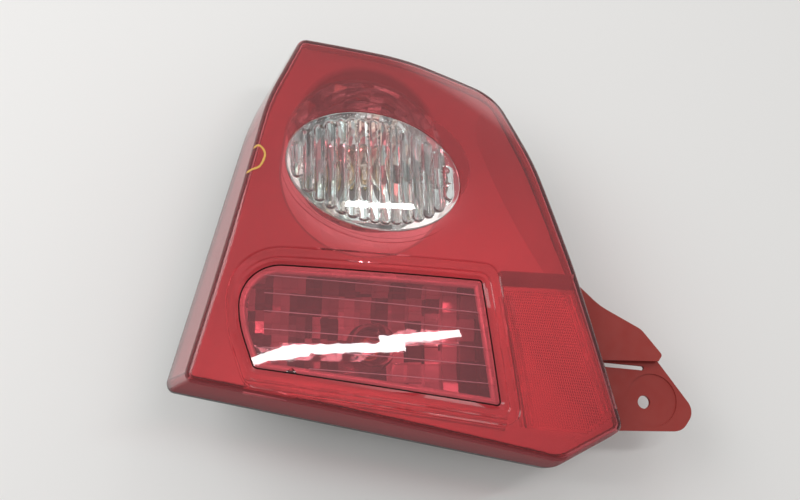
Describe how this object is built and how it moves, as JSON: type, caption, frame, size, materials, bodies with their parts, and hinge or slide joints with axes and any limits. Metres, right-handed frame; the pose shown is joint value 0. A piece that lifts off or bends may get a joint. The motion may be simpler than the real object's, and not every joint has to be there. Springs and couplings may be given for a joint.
{
  "type": "tail light cluster",
  "caption": "Rear lamp of a small car with a red lens, a clear fluted turn window, a recessed brake window and a painted screw bracket",
  "frame": {"origin": "centre of the screw hole in the mounting bracket, on the seat of the screw", "axes": "+Z the way the lens faces, +Y up and +X inboard on the car"},
  "size_m": [0.3066, 0.242, 0.1059],
  "materials": {
    "red_lens": "clear red moulded acrylic, polished",
    "clear_lens": "clear moulded acrylic with flutes on its back",
    "red_reflex": "clear red acrylic with prisms on its back",
    "bezel_metallised": "satin metallised plastic",
    "bowl_metallised": "bright metallised plastic",
    "amber_glass": "amber bulb glass",
    "bulb_glass": "clear bulb glass",
    "bulb_brass": "plain brass",
    "filament_wire": "drawn wire on a glass stem",
    "housing_black": "black moulded plastic with a fine grain",
    "sealant": "cured black sealant",
    "socket_grey": "grey moulded plastic",
    "seal_rubber": "black rubber",
    "contact_metal": "stamped brass",
    "bracket_paint": "dull red paint on stamped steel",
    "screw_steel": "zinc plated steel",
    "pin_steel": "turned steel",
    "gasket_foam": "closed cell foam"
  },
  "bodies": {
    "root": {"lens_red": "red_lens", "lens_clear": "clear_lens", "reflex_reflector": "red_reflex", "bezel": "bezel_metallised", "turn_reflector": "bowl_metallised", "stop_reflector": "bowl_metallised", "turn_bulb_glass": "amber_glass", "turn_bulb_cap": "bulb_brass", "turn_filament": "filament_wire", "stop_bulb_glass": "bulb_glass", "stop_bulb_cap": "bulb_brass", "stop_filament": "filament_wire", "housing": "housing_black", "lens_seal": "sealant", "turn_socket": "socket_grey", "stop_socket": "socket_grey", "turn_socket_seal": "seal_rubber", "stop_socket_seal": "seal_rubber", "turn_contacts": "contact_metal", "stop_contacts": "contact_metal", "mounting_bracket": "bracket_paint", "bracket_screws": "screw_steel", "reflector_screws": "screw_steel", "upper_locating_pin": "pin_steel", "outer_locating_pin": "pin_steel", "vent_caps": "seal_rubber", "rear_gasket": "gasket_foam"}
  },
  "joints": []
}
